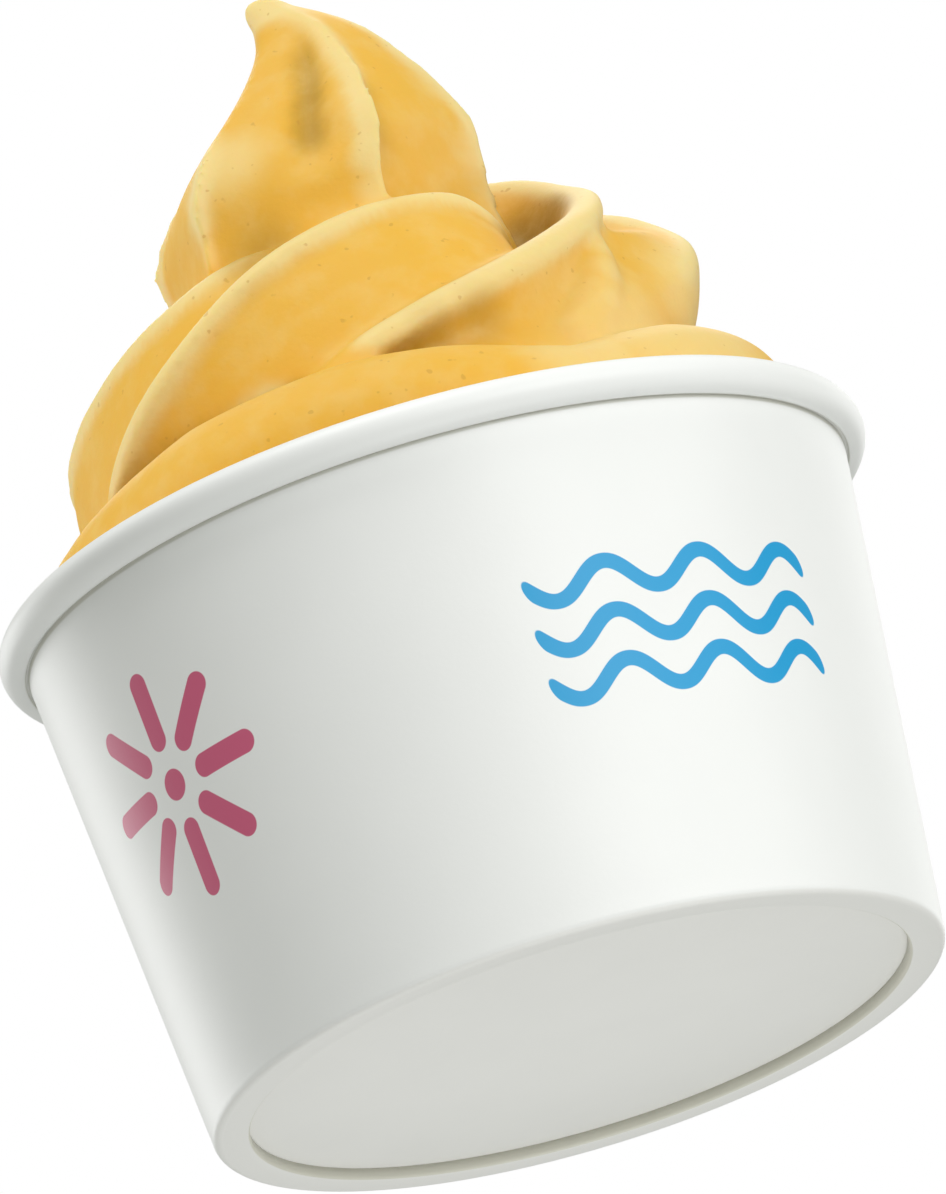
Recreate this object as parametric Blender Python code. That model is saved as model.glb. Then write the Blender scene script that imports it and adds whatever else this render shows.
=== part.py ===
"""A paper cup of frozen yogurt, piped high above the rim, at real size.

Metres, +Z up. The cup stands upright on the ring at its foot, centred on the Z axis.
Radii and heights below are in millimetres, and MM turns them into metres.
"""

import math

import bmesh
import bpy
import numpy as np
from mathutils import Matrix

MM = 0.001

# Cup
CUP_HEIGHT = 59.3
BASE_RADIUS = 40.4
RIM_RADIUS = 48.0
WALL_FLARE = 0.0897  # outward, for each millimetre of height
WALL_THICKNESS = 0.55
ROLL_RADIUS = 2.1
FOOT_INNER_RADIUS = 36.45
FOOT_THICKNESS = 1.0
FOOT_ROUNDING = 0.9
DISC_THICKNESS = 0.6
GAP = 0.3  # between one piece and the next
CUP_SEGMENTS = 96

# Yogurt. Heights of the piping are taken from the top of the rim.
VOXEL = 0.7
SMOOTHING = 12
YOGURT_TRIANGLES = 5300
COIL_RADIUS = 34.0
COIL_TUBE = 8.0
COIL_HEIGHT = 1.5
FILL_SHOULDER = -3.5
COIL_DIPS = [
    (-180, -1.0),
    (-160, -1.9),
    (-146, -1.5),
    (-134, -0.8),
    (-124, 0.1),
    (-97, 0.3),
    (-90, 0.0),
    (-78, -0.9),
    (-65, -2.6),
    (-56, -3.3),
    (-46, -2.1),
    (-34, -0.7),
    (-12, 0.4),
    (60, 0.0),
    (140, 0.0),
    (180, -1.0),
]

# Each ridge climbs counter-clockwise. A station is the angle, then the radius and height of the
# crest, then the radius and height of the foot of the steep face below it. "tip" is the crest's
# own radius, "lip" how far the crest stands out from its face, "bulge" how full the face is,
# and "top" the run inward and the rise of the upper side, at the shares of the way up in TOP_AT.
TOP_AT = (0.3, 0.6, 0.85)
BACK_RIDGE = [
    (0, 35.0, 0.0, 33.0, -4.0),
    (20, 36.5, 7.0, 33.5, 0.0),
    (45, 36.0, 14.0, 33.0, 5.0),
    (75, 33.0, 21.0, 31.0, 8.0),
    (105, 27.8, 25.5, 28.0, 12.0),
    (135, 21.5, 28.0, 22.0, 17.0),
    (162, 13.5, 29.0, 13.5, 19.0),
]
BACK_SHAPE = {"tip": 2.0, "lip": 0.8, "bulge": 0.6, "top": ((8.0, 2.0), (7.0, -1.0), (7.0, -1.0))}
RIDGES = {
    "front_upper": {
        "stations": [
            (-182, 33.0, 1.0, 31.0, -3.0),
            (-164, 34.0, 7.8, 30.0, 2.5),
            (-139, 33.2, 15.8, 28.4, 7.5),
            (-116, 27.8, 23.8, 28.2, 10.0),
            (-92, 24.1, 27.6, 29.0, 13.0),
            (-68, 21.6, 29.1, 28.8, 16.0),
            (-45, 20.3, 29.3, 25.5, 18.0),
            (-28, 19.9, 26.6, 21.0, 18.0),
            (-15, 18.2, 21.7, 17.0, 15.0),
        ],
        "tip": 2.2,
        "lip": 1.1,
        "bulge": 1.1,
        "top": ((9.0, 2.0), (6.0, 0.0), (5.0, -2.5)),
    },
    "front_lower": {
        "stations": [
            (-126, 30.6, 0.6, 27.0, -1.0),
            (-100, 32.6, 9.0, 29.0, 4.5),
            (-80, 33.0, 12.7, 31.5, 6.5),
            (-56, 32.2, 16.8, 32.3, 6.5),
            (-32, 31.0, 22.4, 31.8, 9.0),
            (-10, 28.8, 27.9, 30.6, 12.0),
            (15, 27.6, 33.3, 28.5, 16.0),
            (40, 26.6, 38.8, 25.0, 22.0),
            (62, 22.8, 40.3, 20.0, 26.0),
            (84, 17.0, 38.8, 15.0, 26.0),
            (104, 11.0, 35.0, 10.0, 24.0),
        ],
        "tip": (2.8, 2.0, 2.0),
        "lip": 0.6,
        "bulge": -1.4,
        "top": ((8.0, 1.0), (4.0, -12.0), (5.0, -3.0)),
    },
    "right": {
        "stations": [
            (-52, 30.0, 2.0, 29.0, -4.0),
            (-41, 32.4, 9.0, 30.0, -1.0),
            (-31, 32.7, 12.3, 30.5, 2.0),
            (-18, 33.2, 15.2, 30.5, 5.0),
            (-4, 35.8, 19.2, 30.4, 8.0),
            (12, 36.6, 25.0, 32.6, 13.0),
            (24, 34.0, 30.4, 32.4, 17.0),
            (40, 30.6, 34.0, 30.5, 20.0),
            (66, 26.3, 36.0, 25.0, 22.0),
            (98, 20.5, 35.5, 18.0, 24.0),
            (124, 13.0, 33.0, 12.0, 23.0),
        ],
        "tip": 2.1,
        "lip": 0.0,
        "bulge": 0.7,
        "top": ((3.5, 8.0), (6.0, -2.0), (6.0, -1.0)),
    },
    "back_right": {"stations": [(angle + 5, *rest) for angle, *rest in BACK_RIDGE], **BACK_SHAPE},
    "back_left": {"stations": [(angle + 65, *rest) for angle, *rest in BACK_RIDGE], **BACK_SHAPE},
    "left": {
        "stations": [
            (125, 35.0, 0.0, 33.0, -4.0),
            (148, 37.0, 9.2, 34.6, 0.0),
            (170, 36.1, 17.3, 35.3, 5.0),
            (181, 33.3, 20.8, 34.4, 7.0),
            (192, 30.3, 22.9, 33.3, 8.5),
            (216, 26.1, 25.8, 29.5, 13.0),
            (243, 22.4, 27.8, 26.0, 17.0),
            (280, 16.0, 26.8, 19.0, 19.0),
        ],
        "tip": 2.1,
        "lip": 0.6,
        "bulge": 1.0,
        "top": ((8.0, 1.5), (6.0, 0.0), (6.0, -1.0)),
    },
}

# The peak leans as it rises: height, sideways shift, half width
PEAK = [
    (24.0, -1.1, 20.6),
    (33.0, -1.6, 19.3),
    (38.0, -1.7, 19.5),
    (42.9, -0.1, 18.0),
    (48.3, 2.1, 13.6),
    (52.9, 3.2, 9.6),
    (57.0, 3.1, 6.4),
    (60.6, 0.9, 3.4),
    (61.7, -0.7, 1.9),
]
# Its crests: the angle at each of PEAK_LEVELS, where the next face starts as a share of the half
# width, and how full that face is
PEAK_LEVELS = (30, 40, 50, 60)
PEAK_CRESTS = [
    ((-131, -127, -134, -145), 0.93, 0.6),
    ((-66, -60.5, -66.5, -79), 0.86, 0.5),
    ((-2, 0, 2, 4), 0.90, 0.5),
    ((78, 82, 86, 90), 0.90, 0.5),
    ((162, 166, 170, 172), 0.93, 0.4),
]
GROOVE_DEPTH = 2.3
GROOVE_PLACE = ((40, 53), (0.63, 0.56))  # heights, and the share of the way across the front face
# The curled end: sideways place, height, radius
TIP = [(0.2, 60.3, 2.4), (-0.7, 61.3, 1.9), (-1.5, 61.6, 1.5), (-1.8, 61.0, 1.25)]

# A rounded pleat hangs under the lip at the right. Each row is an angle, a distance from the axis
# and a height above the rim, for its middle, and half its thickness.
PLEAT = [
    (-26.5, 27.6, 23.5, 1.8),
    (-28.5, 28.4, 21.0, 2.3),
    (-31.5, 29.2, 17.5, 2.8),
    (-36.5, 29.7, 13.0, 3.2),
    (-44, 29.4, 9.0, 3.7),
]


def wall_radius(z):
    """The outside of the wall at a height above the table."""
    return BASE_RADIUS + WALL_FLARE * z


def through(points, count):
    """A smooth line through the given rows, as count rows."""
    rows = np.array(points, float)
    last = len(rows) - 1
    line = []
    for x in np.linspace(0, last, count):
        i = min(int(x), last - 1)
        f = x - i
        a = rows[max(i - 1, 0)]
        b = rows[i]
        c = rows[i + 1]
        d = rows[min(i + 2, last)]
        line.append(
            0.5 * (2 * b + (c - a) * f + (2 * a - 5 * b + 4 * c - d) * f**2 + (3 * b - a - 3 * c + d) * f**3)
        )
    return line


def join_rings(bm, rings, closed_run=False):
    """Faces between one ring of vertices and the next, with the two ends closed."""
    pairs = list(zip(rings, rings[1:]))
    if closed_run:
        pairs.append((rings[-1], rings[0]))
    for low, high in pairs:
        for k in range(len(low)):
            n = (k + 1) % len(low)
            bm.faces.new((low[k], low[n], high[n], high[k]))
    if not closed_run:
        bm.faces.new(reversed(rings[0]))
        bm.faces.new(rings[-1])


def turned(bm, outline, segments, closed_run=False, lift=0.0):
    """Turns an outline of (radius, height) about the Z axis."""
    rings = []
    for radius, height in outline:
        ring = []
        for k in range(segments):
            angle = math.tau * k / segments
            place = (radius * math.cos(angle), radius * math.sin(angle), height + lift)
            ring.append(bm.verts.new(place))
        rings.append(ring)
    join_rings(bm, rings, closed_run)


def arc(centre, radii, start, end, steps):
    """Points on an ellipse from one angle to another, in degrees."""
    points = []
    for k in range(steps + 1):
        angle = math.radians(start + (end - start) * k / steps)
        points.append((centre[0] + radii[0] * math.cos(angle), centre[1] + radii[1] * math.sin(angle)))
    return points


def material(name, colour, roughness):
    made = bpy.data.materials.new(name)
    made.use_nodes = True
    shader = made.node_tree.nodes["Principled BSDF"]
    shader.inputs["Base Color"].default_value = (*colour, 1.0)
    shader.inputs["Roughness"].default_value = roughness
    shader.inputs["Metallic"].default_value = 0.0
    return made


def finish(bm, name, surface):
    """Makes the object from the bmesh, with its faces outward."""
    bmesh.ops.recalc_face_normals(bm, faces=bm.faces)
    bmesh.ops.scale(bm, vec=(MM, MM, MM), verts=bm.verts)
    mesh = bpy.data.meshes.new(name)
    bm.to_mesh(mesh)
    bm.free()
    mesh.materials.append(surface)
    mesh.shade_smooth()
    made = bpy.data.objects.new(name, mesh)
    bpy.context.scene.collection.objects.link(made)
    return made


def cup_wall(surface):
    """The wall in one piece with its rolled rim and with the ring that it folds into at the foot."""
    roll_centre = (RIM_RADIUS - ROLL_RADIUS, CUP_HEIGHT - ROLL_RADIUS)
    under_roll = roll_centre[1] - 0.97 * ROLL_RADIUS
    inner_top = roll_centre[1] + 0.88 * ROLL_RADIUS
    foot_centre = (wall_radius(FOOT_ROUNDING) - FOOT_ROUNDING, FOOT_ROUNDING)
    fold = 0.4
    outline = [(FOOT_INNER_RADIUS, FOOT_THICKNESS), (FOOT_INNER_RADIUS, fold), (FOOT_INNER_RADIUS + fold, 0.0)]
    outline += arc(foot_centre, (FOOT_ROUNDING, FOOT_ROUNDING), -90, 0, 3)
    outline.append((wall_radius(under_roll), under_roll))
    outline += arc(roll_centre, (ROLL_RADIUS, ROLL_RADIUS), -90, 90, 10)
    outline.append((wall_radius(inner_top) - WALL_THICKNESS, inner_top))
    outline.append((wall_radius(FOOT_THICKNESS) - WALL_THICKNESS, FOOT_THICKNESS))
    bm = bmesh.new()
    turned(bm, outline, CUP_SEGMENTS, closed_run=True)
    return finish(bm, "cup_wall", surface)


def cup_base(surface):
    """The flat disc that closes the cup, just above the ring at the foot."""
    under = FOOT_THICKNESS + GAP
    radius = wall_radius(under) - WALL_THICKNESS - GAP
    bm = bmesh.new()
    turned(bm, [(radius, under), (radius, under + DISC_THICKNESS)], CUP_SEGMENTS)
    return finish(bm, "cup_base", surface)


def ridge_section(station, ridge, tip, top):
    """The outline of a ridge at one angle, as (radius, height): crest, face, core, upper side."""
    crest, height, foot, foot_height = station[1:]
    run, rise = top
    down = math.atan2(foot_height - height, foot - crest)
    start = math.atan2(rise, -run) - math.pi / 2
    end = down + math.pi / 2
    while end > start:
        end -= math.tau
    end = max(end, start - 1.6 * math.pi)
    points = arc((crest - tip, height), (tip, tip), math.degrees(start), math.degrees(end), 6)
    x, z = points[-1]
    length = math.hypot(foot - x, foot_height - z)
    normal = (-math.sin(down), math.cos(down))
    for share in (0.1, 0.2, 0.35, 0.5, 0.65, 0.8):
        hollow = ridge["lip"] * min(1, share * length / 1.2) * min(1, 2 - 2 * share)
        out = ridge["bulge"] * math.sin(math.pi * share) - hollow
        points.append((x + (foot - x) * share + normal[0] * out, z + (foot_height - z) * share + normal[1] * out))
    points.append((foot, foot_height))
    core = min(3.0, 0.3 * crest)
    points.append((core, min(foot_height - 1, height - 4)))
    x, z = points[0]
    inside = max(x - run, core + 1)
    points.append((core, max(z + rise, foot_height + 1)))
    points.append((inside, z + rise))
    points.append(((inside + x) / 2, z + 0.45 * rise))
    return points


def add_ridge(bm, ridge, count=80):
    """Sweeps the section of a ridge along its stations."""
    rings = []
    runs, rises = zip(*ridge["top"])
    for k, station in enumerate(through(ridge["stations"], count)):
        share = k / (count - 1)
        tip = np.interp(share, TOP_AT, np.broadcast_to(ridge["tip"], len(TOP_AT)))
        top = (np.interp(share, TOP_AT, runs), np.interp(share, TOP_AT, rises))
        angle = math.radians(station[0])
        ring = []
        for radius, height in ridge_section(station, ridge, tip, top):
            place = (radius * math.cos(angle), radius * math.sin(angle), height + CUP_HEIGHT)
            ring.append(bm.verts.new(place))
        rings.append(ring)
    join_rings(bm, rings)


def peak_ring(height, half_width, per_face=34):
    """One level of the peak as (x, y): a crest at each of its corners and a face from each to the next."""
    angles = [math.radians(np.interp(height, PEAK_LEVELS, crest[0])) for crest in PEAK_CRESTS]
    groove = GROOVE_DEPTH * float(np.interp(height, (36, 42, 55, 59), (0, 1, 0.6, 0))) * min(1, half_width / 9)
    place = np.interp(height, *GROOVE_PLACE)
    points = []
    for k, (_, start_share, fullness) in enumerate(PEAK_CRESTS):
        width = (angles[(k + 1) % len(angles)] - angles[k]) % math.tau
        start = start_share * half_width
        across = half_width * math.cos(width) - start
        up = half_width * math.sin(width)
        for n in range(per_face):
            share = n / (per_face - 1)
            turn = width * share
            radius = start * up / (math.cos(turn) * up - math.sin(turn) * across)
            radius += fullness * math.sin(math.pi * share) * min(1, half_width / 10)
            if k == 0:
                radius -= groove * math.exp(-(((share - place) / 0.16) ** 2))
            points.append((radius * math.cos(angles[k] + turn), radius * math.sin(angles[k] + turn)))
    return points


def add_peak(bm, levels=60):
    """The leaning peak, with its faces and crests, and the small curl at its end."""
    rings = []
    for height, shift, half_width in through(PEAK, levels):
        ring = []
        for x, y in peak_ring(height, half_width):
            ring.append(bm.verts.new((x + shift, y, height + CUP_HEIGHT)))
        rings.append(ring)
    join_rings(bm, rings)
    for x, height, radius in TIP:
        place = Matrix.Translation((x, -0.3, height + CUP_HEIGHT))
        bmesh.ops.create_icosphere(bm, subdivisions=3, radius=radius, matrix=place)


def add_pleat(bm, count=24):
    """The pleat, as a row of balls that overlap."""
    for angle, distance, height, radius in through(PLEAT, count):
        turn = math.radians(angle)
        middle = (distance * math.cos(turn), distance * math.sin(turn), height + CUP_HEIGHT)
        bmesh.ops.create_icosphere(bm, subdivisions=3, radius=radius, matrix=Matrix.Translation(middle))


def add_coil(bm, segments=160, around=28):
    """The lowest coil of the piping, which lies round the inside of the rim."""
    rings = []
    for k in range(segments):
        degrees = -180 + 360 * k / segments
        angle = math.radians(degrees)
        lift = CUP_HEIGHT + COIL_HEIGHT + float(np.interp(degrees, *zip(*COIL_DIPS)))
        ring = []
        for n in range(around):
            turn = math.tau * n / around
            radius = COIL_RADIUS + COIL_TUBE * math.cos(turn)
            place = (radius * math.cos(angle), radius * math.sin(angle), lift + COIL_TUBE * math.sin(turn))
            ring.append(bm.verts.new(place))
        rings.append(ring)
    join_rings(bm, rings, closed_run=True)


def inside_limit(z):
    """The farthest that the yogurt reaches at a height in the cup."""
    return wall_radius(z) - WALL_THICKNESS - GAP - 0.05


def frozen_yogurt(surface):
    """The yogurt in one piece: it fills the cup and is piped in folds to a peak above it."""
    bottom = FOOT_THICKNESS + GAP + DISC_THICKNESS + GAP
    shoulder = CUP_HEIGHT + FILL_SHOULDER
    bm = bmesh.new()
    for ridge in RIDGES.values():
        add_ridge(bm, ridge)
    add_peak(bm)
    add_pleat(bm)
    add_coil(bm)
    turned(bm, [(31, -2), (28, 4), (24, 10), (20, 16), (17, 22), (15, 28)], 96, lift=CUP_HEIGHT)
    fill = [(0.01, bottom), (inside_limit(bottom), bottom), (inside_limit(shoulder), shoulder), (30, CUP_HEIGHT + 3)]
    turned(bm, fill, 96)
    whole = finish(bm, "yogurt_pieces", surface)

    # One skin over all of it, then smoothed as soft ice settles
    remesh = whole.modifiers.new("one_skin", "REMESH")
    remesh.mode = "VOXEL"
    remesh.voxel_size = VOXEL * MM
    smooth = whole.modifiers.new("settle", "SMOOTH")
    smooth.factor = 0.5
    smooth.iterations = SMOOTHING
    graph = bpy.context.evaluated_depsgraph_get()
    mesh = bpy.data.meshes.new_from_object(whole.evaluated_get(graph))
    bpy.data.objects.remove(whole)

    # Inside the cup it stays clear of the wall and of the disc
    for vertex in mesh.vertices:
        x, y, z = vertex.co / MM
        limit = inside_limit(z) if z < CUP_HEIGHT - 0.5 else RIM_RADIUS
        shrink = min(1, limit / max(math.hypot(x, y), 0.001))
        vertex.co = (x * shrink * MM, y * shrink * MM, max(z, bottom) * MM)
    mesh.name = "frozen_yogurt"
    mesh.shade_smooth()
    made = bpy.data.objects.new("frozen_yogurt", mesh)
    bpy.context.scene.collection.objects.link(made)
    thin = made.modifiers.new("fewer_faces", "DECIMATE")
    thin.ratio = YOGURT_TRIANGLES / (2 * len(mesh.polygons))
    thin.use_collapse_triangulate = True
    return made


for leftover in list(bpy.data.objects):
    bpy.data.objects.remove(leftover)

paper = material("cup_paper", (0.86, 0.87, 0.86), 0.5)
board = material("base_paper", (0.66, 0.66, 0.63), 0.6)
yogurt = material("yogurt", (0.84, 0.50, 0.10), 0.45)
cup_wall(paper)
cup_base(board)
frozen_yogurt(yogurt)
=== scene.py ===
# %% [markdown]
# # A paper cup of piped frozen yogurt
# This lesson dresses a plain solid model of a takeaway cup: a white paper cup with a rolled rim,
# filled with yellow frozen yogurt that is piped in deep folds to a curled peak. The solid model
# gives the place and the size of everything, and each cell below adds one piece or one finish.

# %% Load the frame
import math

import bmesh
import bpy
import numpy as np
from mathutils import Matrix, Quaternion, Vector
from mathutils.bvhtree import BVHTree


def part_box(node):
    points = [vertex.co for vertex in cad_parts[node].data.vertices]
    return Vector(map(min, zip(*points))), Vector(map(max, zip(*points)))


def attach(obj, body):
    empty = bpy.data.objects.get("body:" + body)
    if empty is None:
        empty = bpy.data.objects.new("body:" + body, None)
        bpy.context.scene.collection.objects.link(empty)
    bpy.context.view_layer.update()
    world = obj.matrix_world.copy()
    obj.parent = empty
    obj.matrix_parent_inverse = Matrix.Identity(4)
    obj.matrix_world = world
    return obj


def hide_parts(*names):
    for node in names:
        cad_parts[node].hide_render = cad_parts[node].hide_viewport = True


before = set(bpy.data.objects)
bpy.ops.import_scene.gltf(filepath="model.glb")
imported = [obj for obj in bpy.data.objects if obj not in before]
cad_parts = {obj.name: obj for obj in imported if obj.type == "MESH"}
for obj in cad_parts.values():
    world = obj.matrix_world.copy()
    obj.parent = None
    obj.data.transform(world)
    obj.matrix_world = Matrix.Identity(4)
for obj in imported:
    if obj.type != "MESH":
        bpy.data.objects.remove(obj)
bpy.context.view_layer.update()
print("nodes:", sorted(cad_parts))

# %% [markdown]
# ## The few sizes that drive the cup
# The cup's rim and its foot come from the solid model's own boxes, so that the dressed cup can
# never grow past it there; the cup's height is given as a number. The rest are the sizes of cup
# paper: a wall of about half a millimetre, a rolled bead at the rim, and a fold at the foot. All
# are in millimetres, because a cup maker thinks in millimetres, and MM turns them into Blender's
# metres.

# %% Sizes of the cup
MM = 0.001

wall_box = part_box("cup_wall")
disc_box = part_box("cup_base")
yogurt_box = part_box("frozen_yogurt")
CUP_HEIGHT = 59.3
RIM_RADIUS = math.floor(wall_box[1][0] / MM * 1000) / 1000
DISC_UNDER = disc_box[0][2] / MM
DISC_TOP = disc_box[1][2] / MM
YOGURT_BOTTOM = yogurt_box[0][2] / MM

BASE_RADIUS = 40.4
WALL_FLARE = 0.0897  # outward, for each millimetre of height
WALL_THICKNESS = 0.55
ROLL_RADIUS = 2.1
CREASE = (0.32, 0.3)  # width and depth of the slot between the wall and the rolled rim
FOOT_INNER_RADIUS = 36.45
FOOT_ROUNDING = 0.9
GAP = 0.3


def wall_radius(z):
    """The outside of the paper wall at a height above the table."""
    return BASE_RADIUS + WALL_FLARE * z


print("cup height", CUP_HEIGHT, "rim radius", RIM_RADIUS, "yogurt starts at", round(YOGURT_BOTTOM, 2))

# %% [markdown]
# ## A lathe made of Geometry Nodes
# The wall and the base of a cup are shapes of revolution. Blender's Spin tool or a Screw modifier
# would turn an outline too, but a node tree also lays down a clean UV map: across it runs the
# turn round the cup, and up it runs the way along the outline. The print on the wall needs that
# map. The tree makes a grid, then moves each grid point to its place round the axis by reading
# the matching point of the outline.


# %% Helpers for objects and nodes
def placed(name, data):
    """A new object in the scene."""
    made = bpy.data.objects.new(name, data)
    bpy.context.scene.collection.objects.link(made)
    return made


def new_socket(tree, name, way, kind):
    return tree.interface.new_socket(name, in_out=way, socket_type="NodeSocket" + kind)


def link_up(tree, *pairs):
    for source, target in pairs:
        tree.links.new(source, target)


def set_inputs(node, **values):
    """Plain values on a node's own inputs, written with _ for each space."""
    for name, value in values.items():
        node.inputs[name.replace("_", " ")].default_value = value


def calc(tree, operation, *values):
    """One Math node, in any kind of tree. Each value may be a socket or a number."""
    node = tree.nodes.new("ShaderNodeMath")
    node.operation = operation
    for socket, value in zip(node.inputs, values):
        if isinstance(value, (int, float)):
            socket.default_value = value
        else:
            tree.links.new(value, socket)
    return node.outputs[0]


def ramp(tree, value, low, high, to_low=0.0, to_high=1.0, kind="SMOOTHSTEP"):
    """From one value at low to another at high, and no further."""
    node = tree.nodes.new("ShaderNodeMapRange")
    node.interpolation_type = kind
    set_inputs(node, From_Min=low, From_Max=high, To_Min=to_low, To_Max=to_high)
    tree.links.new(value, node.inputs["Value"])
    return node.outputs[0]


def noise(tree, scale, detail=2.0, roughness=0.5):
    """Soft noise in Object coordinates. The scale may be a socket or a number."""
    place = tree.nodes.new("ShaderNodeTexCoord")
    node = tree.nodes.new("ShaderNodeTexNoise")
    set_inputs(node, Detail=detail, Roughness=roughness)
    tree.links.new(place.outputs["Object"], node.inputs["Vector"])
    if isinstance(scale, float):
        node.inputs["Scale"].default_value = scale
    else:
        tree.links.new(scale, node.inputs["Scale"])
    return node.outputs["Fac"]


# %% The lathe tree
def lathe_tree():
    tree = bpy.data.node_groups.new("lathe", "GeometryNodeTree")
    new_socket(tree, "Outline", "INPUT", "Geometry")
    segments = new_socket(tree, "Segments", "INPUT", "Int")
    segments.default_value = 96
    segments.min_value = 12
    new_socket(tree, "Finish", "INPUT", "Material")
    new_socket(tree, "Shape", "OUTPUT", "Geometry")
    n = tree.nodes
    given = n.new("NodeGroupInput")
    result = n.new("NodeGroupOutput")
    size = n.new("GeometryNodeAttributeDomainSize")
    grid = n.new("GeometryNodeMeshGrid")
    index = n.new("GeometryNodeInputIndex")
    place = n.new("GeometryNodeInputPosition")
    sample = n.new("GeometryNodeSampleIndex")
    sample.data_type = "FLOAT_VECTOR"
    split = n.new("ShaderNodeSeparateXYZ")
    join = n.new("ShaderNodeCombineXYZ")
    move = n.new("GeometryNodeSetPosition")
    store = n.new("GeometryNodeStoreNamedAttribute")
    store.data_type = "FLOAT2"
    store.domain = "CORNER"
    set_inputs(store, Name="UVMap")
    weld = n.new("GeometryNodeMergeByDistance")
    set_inputs(weld, Distance=1e-6)
    smooth = n.new("GeometryNodeSetShadeSmooth")
    real = n.new("GeometryNodeRealizeInstances")
    paint = n.new("GeometryNodeSetMaterial")

    # Grid point number i stands on outline point (i mod points), turned by (i div points) segments
    points = size.outputs["Point Count"]
    along = calc(tree, "MODULO", index.outputs[0], points)
    segment = calc(tree, "FLOOR", calc(tree, "DIVIDE", calc(tree, "ADD", index.outputs[0], 0.5), points))
    turn = calc(tree, "MULTIPLY", calc(tree, "DIVIDE", segment, given.outputs["Segments"]), math.tau)
    link_up(
        tree,
        (given.outputs["Outline"], size.inputs[0]),
        (calc(tree, "ADD", given.outputs["Segments"], 1), grid.inputs["Vertices X"]),
        (points, grid.inputs["Vertices Y"]),
        (given.outputs["Outline"], sample.inputs["Geometry"]),
        (place.outputs[0], sample.inputs["Value"]),
        (along, sample.inputs["Index"]),
        (sample.outputs[0], split.inputs[0]),
        (calc(tree, "MULTIPLY", split.outputs["X"], calc(tree, "COSINE", turn)), join.inputs["X"]),
        (calc(tree, "MULTIPLY", split.outputs["X"], calc(tree, "SINE", turn)), join.inputs["Y"]),
        (split.outputs["Z"], join.inputs["Z"]),
        (grid.outputs["Mesh"], store.inputs["Geometry"]),
        (grid.outputs["UV Map"], store.inputs["Value"]),
        (store.outputs[0], move.inputs["Geometry"]),
        (join.outputs[0], move.inputs["Position"]),
        (move.outputs[0], weld.inputs["Geometry"]),
        (weld.outputs[0], smooth.inputs["Geometry"]),
        (smooth.outputs[0], real.inputs["Geometry"]),
        (real.outputs[0], paint.inputs["Geometry"]),
        (given.outputs["Finish"], paint.inputs["Material"]),
        (paint.outputs[0], result.inputs["Shape"]),
    )
    return tree


lathe = lathe_tree()
print("lathe tree with", len(lathe.nodes), "nodes")


# %% Turn an outline into a finished piece
def arc(centre, radii, start, end, steps):
    """Points on an ellipse from one angle to another, in degrees."""
    points = []
    for k in range(steps + 1):
        angle = math.radians(start + (end - start) * k / steps)
        points.append((centre[0] + radii[0] * math.cos(angle), centre[1] + radii[1] * math.sin(angle)))
    return points


def turn_outline(name, outline, segments, finish):
    """A closed outline of (radius, height), turned about the Z axis into a plain mesh."""
    mesh = bpy.data.meshes.new(name + "_outline")
    rows = [(r * MM, 0.0, z * MM) for r, z in outline]
    mesh.from_pydata(rows, [(k, k + 1) for k in range(len(rows) - 1)], [])
    piece = placed(name, mesh)
    modifier = piece.modifiers.new("lathe", "NODES")
    modifier.node_group = lathe
    for item in lathe.interface.items_tree:
        if item.in_out == "INPUT" and item.name == "Segments":
            modifier[item.identifier] = segments
        if item.in_out == "INPUT" and item.name == "Finish":
            modifier[item.identifier] = finish
    graph = bpy.context.evaluated_depsgraph_get()
    turned = bpy.data.meshes.new_from_object(piece.evaluated_get(graph))
    piece.modifiers.clear()
    piece.data = turned
    turned.name = name

    # The outline may run either way round, so the faces are turned outward here
    bm = bmesh.new()
    bm.from_mesh(turned)
    bmesh.ops.recalc_face_normals(bm, faces=bm.faces)
    bm.to_mesh(turned)
    loose = sum(1 for edge in bm.edges if len(edge.link_faces) != 2)
    bm.free()
    print(name, len(turned.polygons), "faces,", loose, "open edges")
    return piece


# %% [markdown]
# ## Finishes: coated cup paper
# Cup paper is white board with a thin coat of plastic. It is matte up close, with a soft sheen
# along the side, and a very fine grain in the sheen. Two materials use that grain, the wall and
# the base, so it is a shader node group that gives a height for a Bump node and a shade for the
# colour. Everything that is the same all over is set on the Principled BSDF itself.


# %% Paper grain group
def paper_grain_group():
    group = bpy.data.node_groups.new("paper_grain", "ShaderNodeTree")
    grain = new_socket(group, "Grain Size", "INPUT", "Float")
    grain.default_value = 1500.0
    new_socket(group, "Height", "OUTPUT", "Float")
    new_socket(group, "Shade", "OUTPUT", "Float")
    given = group.nodes.new("NodeGroupInput")
    result = group.nodes.new("NodeGroupOutput")
    cloud = ramp(group, noise(group, 90.0), 0.3, 0.7, 0.985, 1.0, "LINEAR")
    link_up(
        group,
        (noise(group, given.outputs["Grain Size"], 3.0), result.inputs["Height"]),
        (cloud, result.inputs["Shade"]),
    )
    return group


grain_group = paper_grain_group()


# %% Paper materials
def new_material(name):
    made = bpy.data.materials.new(name)
    made.use_nodes = True
    return made, made.node_tree, made.node_tree.nodes["Principled BSDF"]


def mix_colour(tree, factor, first, second, blend="MIX"):
    """A colour mix. Each colour may be a socket or a plain (r, g, b)."""
    node = tree.nodes.new("ShaderNodeMix")
    node.data_type = "RGBA"
    node.blend_type = blend
    for socket, value in ((node.inputs[0], factor), (node.inputs[6], first), (node.inputs[7], second)):
        if isinstance(value, (int, float)):
            socket.default_value = value
        elif isinstance(value, tuple):
            socket.default_value = (*value, 1.0)
        else:
            tree.links.new(value, socket)
    return node.outputs[2]


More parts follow.
